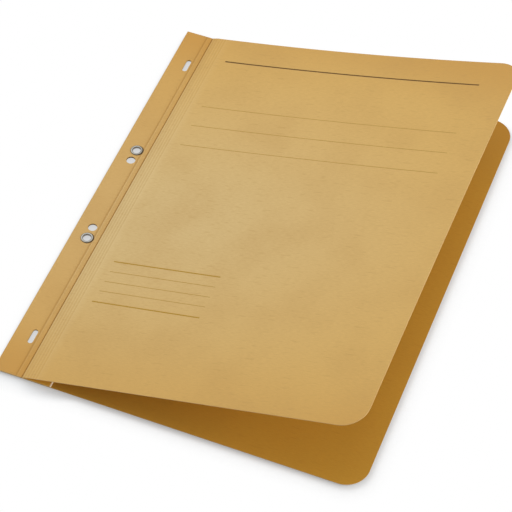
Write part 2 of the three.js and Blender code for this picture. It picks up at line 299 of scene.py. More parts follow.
@dataclass(frozen=True)
class CardFinish:
    """Uncoated buff card: long fibres, fine tooth, soft clouding and scored lines, with painted light on
    it.

    The painted light is a sheen in the pale middle, shade towards the rim, the corners and the ends,
    shade on the spine strip, shade and highlights along the scores, and a shadow beside each eyelet's
    flange. Lengths are in millimetres, places are from the spine edge and mid height of the flat card,
    and every share runs from 0 to 1.
    """

    name: str
    tones: CardTones
    # centre and stretch place the painted sheen; the rim, corner and end reaches and shares lay painted
    # shade
    centre: tuple[float, float] = (40.0, -18.0)
    stretch: float = 0.6
    rim_shade_reach: tuple[float, float] = (0.0, 170.0)
    corner_shade_reach: tuple[float, float] = (150.0, 205.0)
    corner_shade_share: float = 0.45
    end_shade_reach: tuple[float, float] = (105.0, 152.0)
    end_shade_share: float = 0.15
    # painted shade on the spine strip, deeper at its head and foot
    spine_shade_share: float = 0.5
    spine_end_shade_share: float = 0.45
    spine_shade_blur: float = 0.5
    # painted highlight on the score ridges: how it fades towards the rim, and how much it glows though
    # the card is no lamp
    ridge_highlight_fade: float = 0.75
    ridge_highlight_glow: float = 0.0
    # a painted shadow around each eyelet's flange, shifted to one side
    flange_shadow_shift: float = 0.4
    flange_shadow_width: float = 0.55
    flange_shadow_share: float = 0.9
    flange_shadow_tone: Colour = (0.09, 0.045, 0.012, 1.0)
    cloud_width: float = 45.0
    cloud_range: tuple[float, float] = (0.4, 0.7)
    cloud_share: float = 0.18
    fibre_length: float = 3.4
    fibre_width: float = 0.5
    tooth_width: float = 0.35
    tooth_depth: float = 0.022
    grain_mix: float = 0.6
    grain_range: tuple[float, float] = (0.35, 0.7)
    grain_share: float = 0.38
    fleck_size: float = 1 / 0.35
    fleck_range: tuple[float, float] = (0.6, 0.76)
    fleck_share: float = 0.25
    rough: float = 0.78
    tooth_rough: float = 0.12
    pressed_shine: float = 0.15
    specular: float = 0.3

    def material(self) -> bpy.types.Material:
        """Builds the card's material.

        Returns:
            The material.
        """
        graph = Finish(self.name)
        tones = self.tones
        flat = graph.attribute(FLAT)
        pressed = graph.attribute(SCORE_SHADE, "Fac")
        ridge_highlight = graph.attribute(RIDGE_HIGHLIGHT, "Fac")
        along = graph.vector("MULTIPLY", flat, (1 / self.fibre_length, 1 / self.fibre_width, 1.0))
        fibre = graph.noise(along, 1.0, *FINE_LAYERS)
        tooth = graph.noise(flat, self.tooth_width, *FINE_LAYERS)
        # painted sheen in the pale middle, with painted shade towards the rim
        sheen_distance = self._sheen_distance(graph, flat)
        rim = graph.ramp(sheen_distance, *self._metres(self.rim_shade_reach))
        colour = graph.mix(rim, tones.pale, tones.rim)
        # painted shade on the spine strip
        on_spine = self._spine_mask(graph, flat)
        colour = graph.mix(on_spine * self.spine_shade_share, colour, tones.spine_shade)
        # painted shade towards the corners and the ends, deeper at the spine's ends
        end = graph.ramp(graph.absolute(graph.axis(flat, "Y")), *self._metres(self.end_shade_reach))
        deep_shade = graph.ramp(sheen_distance, *self._metres(self.corner_shade_reach)) * self.corner_shade_share
        deep_shade = deep_shade + end * (on_spine * self.spine_end_shade_share + self.end_shade_share)
        colour = graph.mix(deep_shade, colour, tones.deep_shade)
        # painted highlight on the score ridges, fading towards the rim
        ridge_highlight = ridge_highlight * (1 - rim * self.ridge_highlight_fade)
        colour = graph.mix(self._grain(graph, flat, along, fibre, tooth), colour, tones.grain)
        colour = graph.mix(ridge_highlight, colour, tones.ridge_highlight)
        # painted shade along the score lines
        colour = graph.mix(pressed, colour, tones.pressed)
        # painted shadow of each eyelet's flange
        colour = graph.mix(self._flange_shadow(graph, flat) * self.flange_shadow_share, colour, self.flange_shadow_tone)
        relief = tooth * self.grain_mix + fibre * (1 - self.grain_mix)
        graph.dress(
            Base_Color=colour,
            Roughness=self.rough + (tooth - 0.5) * self.tooth_rough - pressed * self.pressed_shine,
            Normal=graph.bump(relief, self.tooth_depth * MM),
            Specular_IOR_Level=self.specular,
        )
        # the painted highlight glows too, though the card is no lamp
        if self.ridge_highlight_glow:
            glow = graph.mix(ridge_highlight, BLACK, tones.ridge_highlight)
            graph.dress(Emission_Color=glow, Emission_Strength=self.ridge_highlight_glow)
        return graph.material

    @staticmethod
    def _metres(reach: tuple[float, float]) -> tuple[float, float]:
        """A pair of millimetres in metres."""
        return reach[0] * MM, reach[1] * MM

    def _spine_mask(self, graph: Finish, flat: Link) -> Link:
        """1 on the spine strip, which takes a painted shade, and 0 past the main score."""
        reach = (SPINE_WIDTH - self.spine_shade_blur, SPINE_WIDTH + self.spine_shade_blur)
        return 1 - graph.ramp(graph.axis(flat, "X"), *self._metres(reach))

    def _grain(self, graph: Finish, flat: Link, along: Link, fibre: Link, tooth: Link) -> Link:
        """How strongly the fibres, clouds and flecks show.

        Args:
            graph: The material's nodes.
            flat: The place on the flat card.
            along: The place, drawn together along the fibres.
            fibre: The noise of the fibres.
            tooth: The noise of the tooth.

        Returns:
            The share of the grain's tone.
        """
        cloud = graph.noise(flat, self.cloud_width, SOFT_LAYERS)
        fleck = graph.noise(along, self.fleck_size, 1.0)
        grain = graph.ramp(fibre * self.grain_mix + tooth * (1 - self.grain_mix), *self.grain_range)
        grain = grain * self.grain_share + graph.ramp(cloud, *self.cloud_range) * self.cloud_share
        return grain + graph.ramp(fleck, *self.fleck_range) * self.fleck_share

    def _flange_shadow(self, graph: Finish, flat: Link) -> Link:
        """The painted shadow that each eyelet's flange casts on the card, shifted to one side.

        Args:
            graph: The material's nodes.
            flat: The place on the flat card.

        Returns:
            1 under the flange, down to 0 past the ring.
        """
        middle = ((EYELET_PLACE[0] + self.flange_shadow_shift) * MM, EYELET_PLACE[1] * MM, 0.0)
        offset = graph.vector("SUBTRACT", graph.vector("ABSOLUTE", flat), middle)
        reach = (EYELET_RADIUS, EYELET_RADIUS + self.flange_shadow_width)
        return 1 - graph.ramp(graph.vector("LENGTH", offset, output="Value"), *self._metres(reach))

    def _sheen_distance(self, graph: Finish, flat: Link) -> Link:
        """The distance from the painted sheen in the middle of the sheet, shortened across the cover.

        Args:
            graph: The material's nodes.
            flat: The place on the flat card.

        Returns:
            The distance in metres.
        """
        offset = graph.vector("SUBTRACT", flat, (*self._metres(self.centre), 0.0))
        offset = graph.vector("MULTIPLY", offset, (self.stretch, 1.0, 1.0))
        return graph.vector("LENGTH", offset, output="Value")


@dataclass(frozen=True)
class MetalFinish:
    """Plated sheet metal with fine rubbing marks, and painted shade on an eyelet's barrel below its
    flange.
    """

    name: str
    colour: Colour
    tarnish: Colour
    rough: float
    barrel: Colour | None = None
    bore_shade_top: float = 1.25
    bore_shade_blur: float = 0.1
    tarnish_width: float = 6.0
    tarnish_range: tuple[float, float] = (0.4, 0.75)
    tarnish_rough: float = 0.1
    rub_width: float = 0.12
    rub_length: float = 4.0
    rub_depth: float = 0.003
    rub_rough: float = 0.16
    rub_layers: tuple[float, float] = (2.0, 0.55)

    def material(self) -> bpy.types.Material:
        """Builds the metal's material.

        Returns:
            The material.
        """
        graph = Finish(self.name)
        place = graph.place()
        across = 1 / self.rub_width
        rubbed = graph.vector("MULTIPLY", place, (across, 1 / self.rub_length, across))
        rub = graph.noise(rubbed, 1.0, *self.rub_layers)
        bloom = graph.noise(place, self.tarnish_width, SOFT_LAYERS)
        colour = graph.mix(graph.ramp(bloom, *self.tarnish_range), self.colour, self.tarnish)
        # painted shade in an eyelet's bore, below the flange
        if self.barrel:
            low, high = self.bore_shade_top - self.bore_shade_blur, self.bore_shade_top + self.bore_shade_blur
            flange = graph.ramp(graph.axis(place, "Z"), low * MM, high * MM)
            colour = graph.mix(flange, self.barrel, colour)
        graph.dress(
            Base_Color=colour,
            Metallic=1.0,
            Roughness=self.rough + (rub - 0.5) * self.rub_rough + (bloom - 0.5) * self.tarnish_rough,
            Normal=graph.bump(rub, self.rub_depth * MM),
        )
        return graph.material


@dataclass(frozen=True)
class InkFinish:
    """A thin printed rule that the card shows through a little."""

    name: str
    ink: Colour
    patchy: float = 0.3
    patch_width: float = 0.5
    patch_range: tuple[float, float] = (0.45, 0.75)
    patch_rough: float = 0.1
    rough: float = 0.6
    specular: float = 0.25

    def material(self) -> bpy.types.Material:
        """Builds the ink's material.

        Returns:
            The material.
        """
        graph = Finish(self.name)
        patch = graph.noise(graph.place(), self.patch_width)
        bare = graph.ramp(patch, *self.patch_range) * self.patchy
        graph.dress(
            Base_Color=graph.mix(bare, self.ink, BUFF),
            Roughness=self.rough + patch * self.patch_rough,
            Specular_IOR_Level=self.specular,
        )
        return graph.material


@dataclass(frozen=True)
class FloorFinish:
    """A pale studio floor that shows white, apart from the folder's shadow close to it.

    Under the spine it has a painted shade, which shows through the holes. Lengths are in millimetres,
    least and under are the shares of white right beside the card and under the spine, and lean points to
    where the light comes from.
    """

    name: str = "studio_floor"
    colour: Colour = (0.72, 0.74, 0.76, 1.0)
    shaded: Colour = (0.32, 0.33, 0.34, 1.0)
    rough: float = 0.9
    specular: float = 0.1
    least: float = 0.24
    under: float = 0.5
    lift: float = 1.2
    edge: float = 2.0
    reach: float = 13.0
    falloff: float = 9.0
    samples: int = 24
    lean: tuple[float, float, float] = (-0.45, 0.58, 0.68)

    def material(self) -> bpy.types.Material:
        """Builds the floor's material, lifted to white where the camera, metal and glass see it.

        Returns:
            The material.
        """
        graph = Finish(self.name)
        covered = self._covered(graph)
        # painted shade under the spine
        colour = graph.mix(covered, self.colour, self.shaded)
        graph.dress(Base_Color=colour, Roughness=self.rough, Specular_IOR_Level=self.specular)
        near = {
            "Distance": self.reach * MM,
            "Normal": graph.node("ShaderNodeCombineXYZ", {}, dict(enumerate(self.lean))),
        }
        clear = graph.node("ShaderNodeAmbientOcclusion", {"samples": self.samples}, near, "AO")
        clear = clear ** self.falloff * (1 - self.least) + self.least
        clear = clear * (1 - covered) + covered * self.under
        seen = graph.ray("Camera") + graph.ray("Glossy") + graph.ray("Transmission")
        glow = graph.node("ShaderNodeEmission", {}, {"Color": WHITE, "Strength": 1.0})
        shader = Link(graph, graph.shader.outputs[0])
        mixed = graph.node("ShaderNodeMixShader", {}, {0: seen * clear * self.lift, 1: shader, 2: glow})
        graph.feed(graph.output.inputs["Surface"], mixed)
        return graph.material

    def _covered(self, graph: Finish) -> Link:
        """Finds the floor under the spine, whose painted shade shows through the holes and the slots.

        Args:
            graph: The material's nodes.

        Returns:
            1 there and 0 elsewhere.
        """

        def within(axis: str, middle: float, half: float) -> Link:
            """1 on a span of one axis, fading to 0 inside its ends."""
            offset = graph.absolute(graph.axis(graph.place(), axis) - middle * MM)
            return 1 - graph.ramp(offset, (half - 2 * self.edge) * MM, (half - self.edge) * MM)

        across = within("X", (SPINE_WIDTH - SIZES.width) / 2, SPINE_WIDTH / 2)
        return across * within("Y", 0.0, SIZES.half)


# These tones hold painted light: a sheen, shade on the rim, corners, ends and spine, shade along the
# scores and ridge highlights.
OUTSIDE = CardTones(
    pale=rgba(219, 191, 134),
    rim=rgba(218, 177, 102),
    deep_shade=rgba(200, 145, 64),
    spine_shade=rgba(200, 151, 74),
    grain=rgba(192, 150, 86),
    pressed=rgba(156, 108, 34),
    ridge_highlight=rgba(226, 200, 146),
)
INSIDE = CardTones(
    pale=rgba(203, 152, 54),
    rim=rgba(172, 122, 39),
    deep_shade=rgba(178, 131, 46),
    spine_shade=rgba(208, 155, 58),
    grain=rgba(184, 129, 44),
    pressed=rgba(140, 94, 28),
    ridge_highlight=rgba(226, 178, 84),
)
# Painted light: a lit copy of the inside card for the filing strip, with a near white painted highlight
# on its edge.
LIT_FILING = CardTones(
    pale=rgba(250, 196, 82),
    rim=rgba(248, 192, 78),
    deep_shade=rgba(246, 188, 74),
    spine_shade=rgba(248, 192, 78),
    grain=rgba(222, 166, 62),
    pressed=rgba(150, 102, 30),
    ridge_highlight=rgba(254, 244, 218),
)
CUT_EDGE = CardTones(
    pale=rgba(222, 194, 140),
    rim=rgba(218, 186, 128),
    deep_shade=rgba(210, 176, 118),
    # painted shade in the walls of the holes through the spine
    spine_shade=rgba(100, 66, 28),
    grain=rgba(194, 158, 100),
    pressed=rgba(206, 172, 112),
    ridge_highlight=rgba(250, 238, 208),
)
INKS = {
    Ink.BROWN: InkFinish("brown_rule", rgba(96, 68, 28), patchy=0.15),
    Ink.TAN: InkFinish("tan_rule", rgba(178, 137, 42)),
    Ink.FAINT: InkFinish("faint_rule", rgba(184, 146, 70)),
}


@dataclass
class Finishes:
    """Every finish of the folder, built once."""

    card_outside: bpy.types.Material = field(
        default_factory=CardFinish("buff_card_face", OUTSIDE).material
    )
    card_inside: bpy.types.Material = field(
        # painted shade towards the head end of the inside card
        default_factory=CardFinish(
            "buff_card_inside",
            INSIDE,
            centre=(120.0, -154.0),
            rim_shade_reach=(240.0, 330.0),
            corner_shade_share=0.0,
            end_shade_share=0.0,
            cloud_share=0.1,
        ).material
    )
    # painted light on the filing strip, whose edge highlight glows
    lit_filing_card: bpy.types.Material = field(
        default_factory=CardFinish("buff_card_lit_filing", LIT_FILING, ridge_highlight_fade=0.0, ridge_highlight_glow=0.35).material
    )
    card_edge: bpy.types.Material = field(
        # painted shade in the walls of the holes, lifted again at the spine's head and foot
        default_factory=CardFinish(
            "buff_card_edge", CUT_EDGE, end_shade_reach=(50.0, 90.0), spine_shade_share=0.9, spine_end_shade_share=0.85
        ).material
    )
    nickel: bpy.types.Material = field(
        default_factory=MetalFinish(
            "nickel_plate",
            colour=(0.32, 0.31, 0.28, 1),
            tarnish=(0.2, 0.19, 0.16, 1),
            rough=0.24,
            # painted shade in the bore
            barrel=(0.24, 0.2, 0.16, 1),
        ).material
    )
    tin: bpy.types.Material = field(
        default_factory=MetalFinish(
            "tin_plate", colour=(0.5, 0.51, 0.52, 1), tarnish=(0.36, 0.36, 0.36, 1), rough=0.3
        ).material
    )
    inks: dict[Ink, bpy.types.Material] = field(
        default_factory=lambda: {ink: finish.material() for ink, finish in INKS.items()}
    )
    floor: bpy.types.Material = field(default_factory=FloorFinish().material)

    def card(self) -> list[bpy.types.Material]:
        """The card's materials in the order of Face, for a sheet whose top is an outer face."""
        return [self.card_outside, self.card_inside, self.card_edge]

    def card_turned(self) -> list[bpy.types.Material]:
        """The card's materials for a sheet whose top is an inner face."""
        return [self.card_inside, self.card_outside, self.card_edge]

    def card_strip(self) -> list[bpy.types.Material]:
        """The card's materials for the filing strip, whose painted light is alike on both sides."""
        return [self.lit_filing_card, self.lit_filing_card, self.card_edge]


@dataclass(frozen=True)
class Sizes:
    """The folder's own sizes in millimetres, measured from the spine edge and from mid height."""

    width: float = 239.0
    height: float = 308.0
    card: float = 0.35
    ply: float = 0.05
    corner: float = 15.0
    spine: float = SPINE_WIDTH
    pitch: float = 4.0
    fine_pitch: float = 2.0
    eyelet_inset: float = EYELET_PLACE[0]
    eyelet_spacing: float = 2 * EYELET_PLACE[1]
    hole_inset: float = 10.8
    hole_spacing: float = 61.5
    hole_radius: float = 3.0
    slot_inset: float = 12.1
    slot_spacing: float = 247.0
    slot_length: float = 11.0
    slot_width: float = 3.5
    eyelet_bore: float = 2.7
    eyelet_wall: float = 0.28
    eyelet_flange: float = EYELET_RADIUS
    eyelet_fit: float = 0.15
    eyelet_roll: float = 0.5
    eyelet_back: float = 0.2
    cover_length: float = 222.4
    cover_tilt: float = 16.4
    pivot_lift: float = 0.1
    corner_drop: float = 5.7
    head_sag: float = 2.9
    filing_tab: float = 2.5
    filing_edge: float = 38.5

    @property
    def half(self) -> float:
        """Half the height."""
        return self.height / 2

    @property
    def front_z(self) -> float:
        """The underside of the front spine strip."""
        return 2 * (self.card + self.ply)

    @property
    def spine_top(self) -> float:
        """The top of the front spine strip."""
        return self.front_z + self.card

    @property
    def barrel(self) -> float:
        """The outer radius of an eyelet's barrel."""
        return self.eyelet_bore + self.eyelet_wall


SIZES = Sizes()


def pivot() -> Vector:
    """The line that the front cover turns on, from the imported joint.

    Returns:
        A place on it, in millimetres from the spine edge.
    """
    joint = next(j for j in frame["joints"] if j["child"] == Body.COVER.value)
    place = Vector(joint["pos_m"]) / MM
    return Vector((place.x + SIZES.width / 2, place.y, place.z))


UP = Vector((0, 0, 1))
PIVOT = pivot()
TILT = math.radians(SIZES.cover_tilt)
COVER_ALONG = Vector((math.cos(TILT), 0, math.sin(TILT)))
COVER_UP = Vector((-math.sin(TILT), 0, math.cos(TILT)))


def cover_warp(along: float, up: float) -> float:
    """How far the cover's card stands off its plane.

    Args:
        along: Distance from the pivot line, in millimetres.
        up: Distance from mid height, in millimetres.

    Returns:
        The offset in millimetres, negative towards the back.
    """
    s = along / SIZES.cover_length
    t = (up + SIZES.half) / SIZES.height
    return -t * t * (SIZES.corner_drop * s + SIZES.head_sag * 4 * s * (1 - s))


def cover_point(along: float, up: float, lift: float = 0.0) -> Vector:
    """A point over the top face of the front cover, in millimetres from the spine edge."""
    rise = cover_warp(along, up) - SIZES.pivot_lift + lift
    return PIVOT + COVER_ALONG * along + COVER_UP * rise + Vector((0, up, 0))


@dataclass(frozen=True)
class Station:
    """One line across a sheet: where its top is, which way that faces, and how tall the sheet is."""

    x: float
    z: float
    normal: Vector
    half: float
    dip: float = 0.0
    warped: bool = False


@dataclass(frozen=True)
class Score:
    """A scored line pressed into the card, which pushes up a low ridge beside it."""

    at: float
    depth: float
    width: float
    shade: float
    ridge: float = 0.0
    ridge_at: float = 0.85
    ridge_width: float = 0.3
    ridge_rise: float = 0.05

    def hollow(self, x: float) -> float:
        """How far into the groove a place lies, from 0 to 1."""
        return math.exp(-(((x - self.at) / self.width) ** 2))

    def crest(self, x: float) -> float:
        """How far up the ridge a place lies, from 0 to 1."""
        return self.ridge * math.exp(-(((x - self.at - self.ridge_at) / self.ridge_width) ** 2))

    def dip(self, x: float) -> float:
        """How far the score lowers the card's top at x."""
        return self.depth * self.hollow(x) - self.ridge_rise * self.crest(x)


# Each score's shade is painted shade along its line and its ridge also shows as a painted highlight;
# scores of depth 0 are painted lines only.
FINE_SCORES = 5
SCORES = (
    Score(SIZES.spine - SIZES.pitch, depth=0.05, width=0.65, shade=0.5, ridge=0.4),
    Score(SIZES.spine - SIZES.pitch / 2, depth=0.0, width=SIZES.pitch, shade=0.1),
    Score(SIZES.spine, depth=0.16, width=0.42, shade=1.0, ridge=1.0),
) + tuple(
    Score(SIZES.spine + i * SIZES.fine_pitch, depth=0.03, width=0.32, shade=0.1, ridge=0.7)
    for i in range(1, FINE_SCORES + 1)
)
# a painted shade line at the back's main score
BACK_SCORES = (Score(SIZES.spine, depth=0.0, width=0.4, shade=0.7, ridge=0.3),)
# the filing strip's edge shows as a painted highlight only
FILING_SCORES = (
    Score(
        SIZES.filing_edge,
        depth=0.0,
        width=0.4,
        shade=0.0,
        ridge=1.0,
        ridge_at=-0.2,
        ridge_width=0.5,
    ),
)
SCORE_STEPS = (-0.8, -0.55, -0.4, -0.25, -0.1, 0.1, 0.25, 0.4, 0.55, 0.7, 0.85, 1.0, 1.15)
SCORE_CLEAR = (-0.9, 1.2)  # millimetres either side of a score, kept for the steps above


def scored_steps(low: float, high: float, step: float) -> list[float]:
    """Distances from low to high, closer together at each score.

    Args:
        low: The first distance.
        high: The last distance.
        step: The widest spacing.

    Returns:
        The distances in order.
    """
    count = max(2, round((high - low) / step))
    steps = {round(low + (high - low) * i / count, 3) for i in range(count + 1)}
    before, after = SCORE_CLEAR
    for score in SCORES:
        close = [round(score.at + offset, 3) for offset in SCORE_STEPS]
        steps = {s for s in steps if not before < s - score.at < after or s in (low, high)}
        steps |= {s for s in close if low < s < high}
    return sorted(steps)


def total_dip(x: float) -> float:
    """How far every score together lowers the card's top at x."""
    return sum(score.dip(x) for score in SCORES)


def show(name: str, mesh: bpy.types.Mesh, materials: Iterable[bpy.types.Material]) -> bpy.types.Object:
    """Puts a mesh into the scene.

    Args:
        name: The object's name.
        mesh: Its mesh.
        materials: The material slots.

    Returns:
        The object.
    """
    for material in materials:
        mesh.materials.append(material)
    made = bpy.data.objects.new(name, mesh)
    bpy.context.scene.collection.objects.link(made)
    return made


def baked(name: str, work: bmesh.types.BMesh) -> bpy.types.Mesh:
    """Makes a mesh of a bmesh.

    Args:
        name: The mesh's name.
        work: The shape, which is freed.

    Returns:
        The mesh.
    """
    mesh = bpy.data.meshes.new(name)
    work.to_mesh(mesh)
    work.free()
    return mesh


def placed(name: str, work: bmesh.types.BMesh, *materials: bpy.types.Material) -> bpy.types.Object:
    """Makes an object of a bmesh whose points are in millimetres, from the spine edge and mid height.

    Args:
        name: The piece's name.
        work: The shape, which is freed.
        materials: The material slots.

    Returns:
        The object.
    """
    bmesh.ops.translate(work, verts=work.verts, vec=(-SIZES.width / 2, 0, 0))
    bmesh.ops.scale(work, verts=work.verts, vec=(MM, MM, MM))
    bmesh.ops.recalc_face_normals(work, faces=work.faces)
    return show(name, baked(name, work), materials)


def skin(work: bmesh.types.BMesh, rings: list[list[Any]], closed: bool = False) -> None:
    """Covers a row of rings of vertices with faces.

    Args:
        work: The shape that the faces go to.
        rings: The rings, which have as many vertices each.
        closed: True where the last ring joins the first. Otherwise both ends get a cap.
    """
    after = [*rings[1:], rings[0]] if closed else rings[1:]
    for first, second in zip(rings, after):
        for i in range(len(first)):
            j = (i + 1) % len(first)
            work.faces.new((first[i], second[i], second[j], first[j]))
    if not closed:
        work.faces.new(rings[0])
        work.faces.new(rings[-1][::-1])


def fix_normals(mesh: bpy.types.Mesh) -> None:
    """Turns every face outwards.

    Args:
        mesh: The mesh, which is changed.
    """
    work = bmesh.new()
    work.from_mesh(mesh)
    bmesh.ops.recalc_face_normals(work, faces=work.faces)
    work.to_mesh(mesh)
    work.free()
    mesh.update()


def smooth(mesh: bpy.types.Mesh, crease: float) -> None:
    """Smooths a mesh and keeps its sharp edges.

    Args:
        mesh: The mesh, which is changed.
        crease: The angle in degrees that an edge has to pass to stay sharp.
    """
    mesh.polygons.foreach_set("use_smooth", [True] * len(mesh.polygons))
    mesh.set_sharp_from_angle(angle=math.radians(crease))
    mesh.update()


def apply_modifiers(piece: bpy.types.Object) -> None:
    """Bakes an object's modifiers into its mesh.

    Args:
        piece: The object, which is changed.
    """
    graph = bpy.context.evaluated_depsgraph_get()
    made = bpy.data.meshes.new_from_object(piece.evaluated_get(graph))
    piece.modifiers.clear()
    piece.data = made


class Sheet:
    """A sheet of card built from stations, as one closed mesh."""

    def __init__(
        self,
        name: str,
        stations: Sequence[Station],
        rows: int,
        materials: list[bpy.types.Material],
        scores: Sequence[Score],
    ) -> None:
        """Builds the mesh.

        Args:
            name: The piece's name.
            stations: The lines across the sheet, in order.
            rows: Steps along the height.
            materials: Top, underside and cut edge.
            scores: The scored lines that show on the sheet.
        """
        self.name = name
        self.stations = stations
        self.rows = rows
        self.scores = scores
        self.object = self._build(materials)

    def _point(self, station: Station, row: int, depth: float) -> Vector:
        """Places one vertex.

        Args:
            station: The line that it is on.
            row: Its row, from the foot.
            depth: How far it lies under the top face.

        Returns:
            The place, in millimetres from the spine edge.
        """
        up = station.half * (2 * row / self.rows - 1)
        rise = -station.dip - depth
        if station.warped:
            along = (Vector((station.x, 0, station.z)) - PIVOT).dot(COVER_ALONG)
            rise += cover_warp(max(0.0, along), up)
        return Vector((station.x, up, station.z)) + station.normal * rise

    def _build(self, materials: list[bpy.types.Material]) -> bpy.types.Object:
        """Lays the two faces and the cut edge.

        Args:
            materials: Top, underside and cut edge.

        Returns:
            The sheet's object.
        """
        mesh = bpy.data.meshes.new(self.name)
        across = self.rows + 1
        count = len(self.stations)
        under = count * across
        shift = Vector((-SIZES.width / 2, 0, 0))
        points = []
        for depth in (0.0, SIZES.card):
            for station in self.stations:
                points += [(self._point(station, row, depth) + shift) * MM for row in range(across)]
        faces = []
        marks = []

        def lay(face: Face, corners: tuple[int, ...], turned: bool = False) -> None:
            """Adds one quad, turned over or not."""
            faces.append(corners[::-1] if turned else corners)
            marks.append(face.value)

        for i in range(count - 1):
            for a in range(i * across, i * across + self.rows):
                b = a + across
                lay(Face.TOP, (a, b, b + 1, a + 1))
                lay(Face.UNDER, (under + a, under + a + 1, under + b + 1, under + b))
        for i in range(count - 1):
            for row, turned in ((0, False), (self.rows, True)):
                a = i * across + row
                b = a + across
                lay(Face.CUT, (a, under + a, under + b, b), turned)
        for i, turned in ((0, True), (count - 1, False)):
            for a in range(i * across, i * across + self.rows):
                lay(Face.CUT, (a, under + a, under + a + 1, a + 1), turned)
        mesh.from_pydata(points, [], faces)
        mesh.polygons.foreach_set("material_index", marks)
        made = show(self.name, mesh, materials)
        fix_normals(mesh)
        return made

    def cut(self, cutter: bpy.types.Object) -> None:
        """Takes the cutter's shape out of the sheet, and marks the new walls as cut edge.

        Args:
            cutter: The punch.
        """
        modifier = self.object.modifiers.new("punch", "BOOLEAN")
        modifier.operation = "DIFFERENCE"
        modifier.solver = "EXACT"
        modifier.object = cutter
        apply_modifiers(self.object)

    def finish(self, pivoted: bool) -> bpy.types.Object:
        """Writes the flat places and the painted shade and highlights of the scored lines, and smooths
        the faces.

        Args:
            pivoted: True where the sheet runs on up the tilted cover.

        Returns:
            The finished object.
        """
        mesh = self.object.data
        count = len(mesh.vertices)
        co = np.zeros(count * 3)
        mesh.vertices.foreach_get("co", co)
        co = co.reshape(-1, 3) / MM
        x = co[:, 0] + SIZES.width / 2
        flat = x.copy()
        if pivoted:
            along = (x - PIVOT.x) * COVER_ALONG.x + (co[:, 2] - PIVOT.z) * COVER_ALONG.z
            flat = np.where(along > 0, PIVOT.x + along, x)
        place = np.stack([flat, co[:, 1], np.zeros(count)], axis=1) * MM
        shade = [max(score.shade * score.hollow(x) for score in self.scores) for x in flat]
        crest = [max(score.crest(x) for score in self.scores) for x in flat]
        mesh.attributes.new(FLAT, "FLOAT_VECTOR", "POINT").data.foreach_set("vector", place.ravel())
        mesh.attributes.new(SCORE_SHADE, "FLOAT", "POINT").data.foreach_set("value", shade)
        mesh.attributes.new(RIDGE_HIGHLIGHT, "FLOAT", "POINT").data.foreach_set("value", crest)
        smooth(mesh, CARD_CREASE)
        return self.object


@dataclass
class Punch:
    """The cutter for everything punched through the spine."""

    segments: int = 72
    reach: float = 6.0

    def _prism(self, work: bmesh.types.BMesh, outline: list[tuple[float, float]]) -> None:
        """Adds an upright prism with the given outline."""
        ends = (-self.reach, self.reach)
        skin(work, [[work.verts.new((x, y, z)) for x, y in outline] for z in ends])

    def _round(self, x: float, y: float, radius: float, reach: float = 0.0) -> list[tuple[float, float]]:
        """The outline of a round hole, or of a slot.

        Args:
            x: Its middle, from the spine edge.
            y: Its middle, from mid height.
            radius: Its radius, or half a slot's width.
            reach: How far a slot's round ends lie from its middle.

        Returns:
            The outline.
        """
        outline = []
        for i in range(self.segments):
            turn = 2 * math.pi * (i + 0.5) / self.segments
            side = reach if math.sin(turn) > 0 else -reach
            outline.append((x + radius * math.cos(turn), y + side + radius * math.sin(turn)))
        return outline

    def cutter(self) -> bpy.types.Object:
        """Builds the cutter.

        Returns:
            An object that the caller removes.
        """
        work = bmesh.new()
        slot_reach = (SIZES.slot_length - SIZES.slot_width) / 2
        openings = (
            (SIZES.eyelet_inset, SIZES.eyelet_spacing, SIZES.barrel + SIZES.eyelet_fit, 0.0),
            (SIZES.hole_inset, SIZES.hole_spacing, SIZES.hole_radius, 0.0),
            (SIZES.slot_inset, SIZES.slot_spacing, SIZES.slot_width / 2, slot_reach),
        )
        for end in (1, -1):
            for inset, spacing, radius, reach in openings:
                self._prism(work, self._round(inset, end * spacing / 2, radius, reach))
        made = placed("punch_cutter", work)
        made.data.polygons.foreach_set("material_index", [Face.CUT.value] * len(made.data.polygons))
        return made


